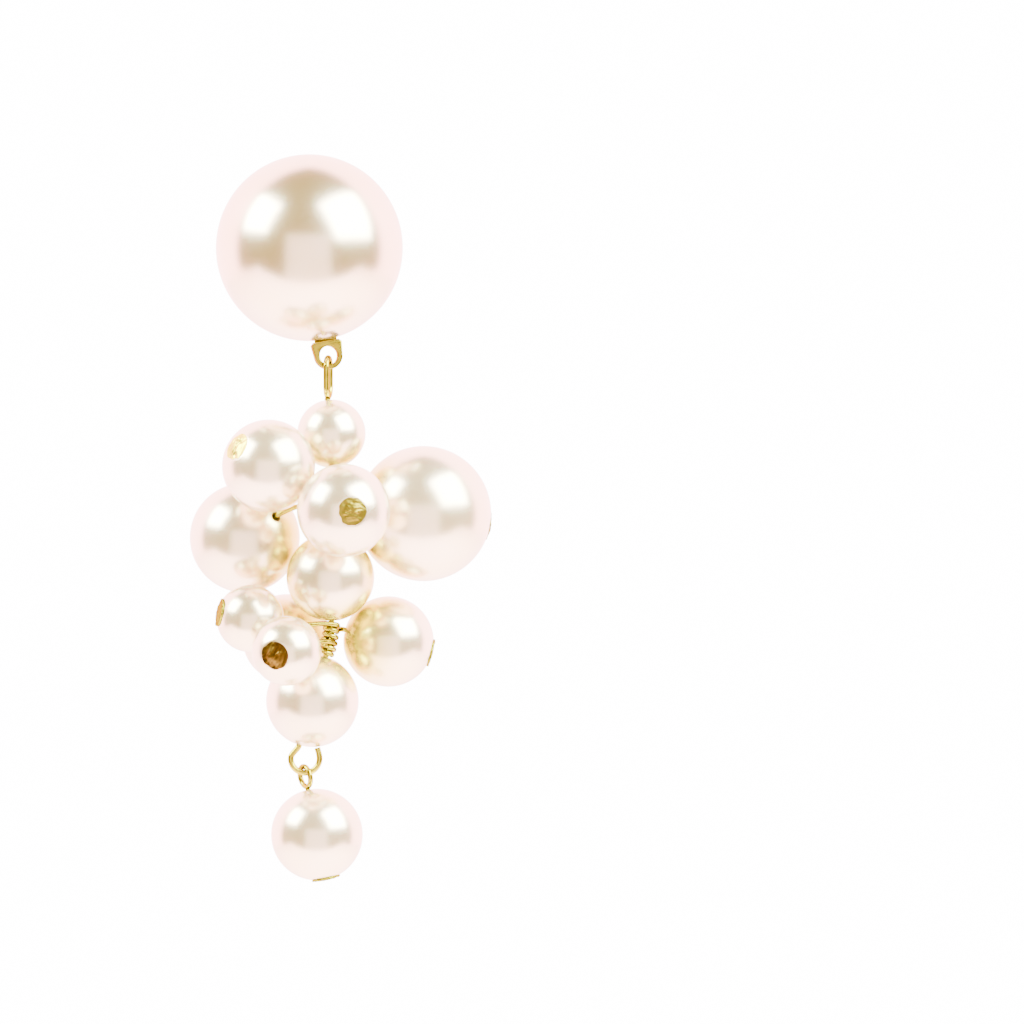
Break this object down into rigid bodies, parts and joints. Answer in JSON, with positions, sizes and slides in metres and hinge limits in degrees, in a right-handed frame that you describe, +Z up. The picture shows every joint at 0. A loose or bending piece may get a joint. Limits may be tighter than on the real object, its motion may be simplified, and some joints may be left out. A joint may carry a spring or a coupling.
{
  "type": "pearl cluster drop earring",
  "caption": "Drop earring with a half pearl stud and a wire stem that carries a loose cluster of round pearls on headed pins and one swinging pearl below.",
  "frame": {"origin": "axis of the ear post, at the back face of the stud's plate, where the ear lobe sits", "axes": "+Z up as the earring hangs, +Y through the ear lobe along the post, so the stud faces -Y"},
  "size_m": [0.0328, 0.0263, 0.0781],
  "materials": {
    "stud_pearl": "off-white with a pink cream cast, glossy pearlescent coat",
    "pearl": "off-white with a pink cream cast, glossy pearlescent coat",
    "stud_metal": "polished yellow gold plate",
    "stem_metal": "polished yellow gold plated wire",
    "pin_metal": "polished yellow gold plated wire"
  },
  "bodies": {
    "stud": {"stud_setting": "stud_metal", "stud_pearl": "stud_pearl"},
    "cluster": {"stem_wire": "stem_metal", "neck_pearl": "pearl", "middle_pearl": "pearl", "base_pearl": "pearl", "upper_left_pearl": "pearl", "large_pearl": "pearl", "left_pearl": "pearl", "front_pearl": "pearl", "small_pearl": "pearl", "right_pearl": "pearl", "low_front_pearl": "pearl", "back_pearl": "pearl", "upper_left_pin": "pin_metal", "large_pin": "pin_metal", "left_pin": "pin_metal", "front_pin": "pin_metal", "small_pin": "pin_metal", "right_pin": "pin_metal", "low_front_pin": "pin_metal", "back_pin": "pin_metal"},
    "drop": {"drop_pearl": "pearl", "drop_pin": "pin_metal"}
  },
  "joints": [
    {"name": "cluster_swing", "type": "hinge", "parent": "stud", "child": "cluster", "pos_m": [0.00201, -0.00085, -0.01152], "axis": [0.2048, -0.9782, 0.0357], "range_deg": [-45, 45]},
    {"name": "drop_swing", "type": "hinge", "parent": "cluster", "child": "drop", "pos_m": [-0.00045, -0.00085, -0.05618], "axis": [1, 0, 0], "range_deg": [-40, 40]}
  ]
}
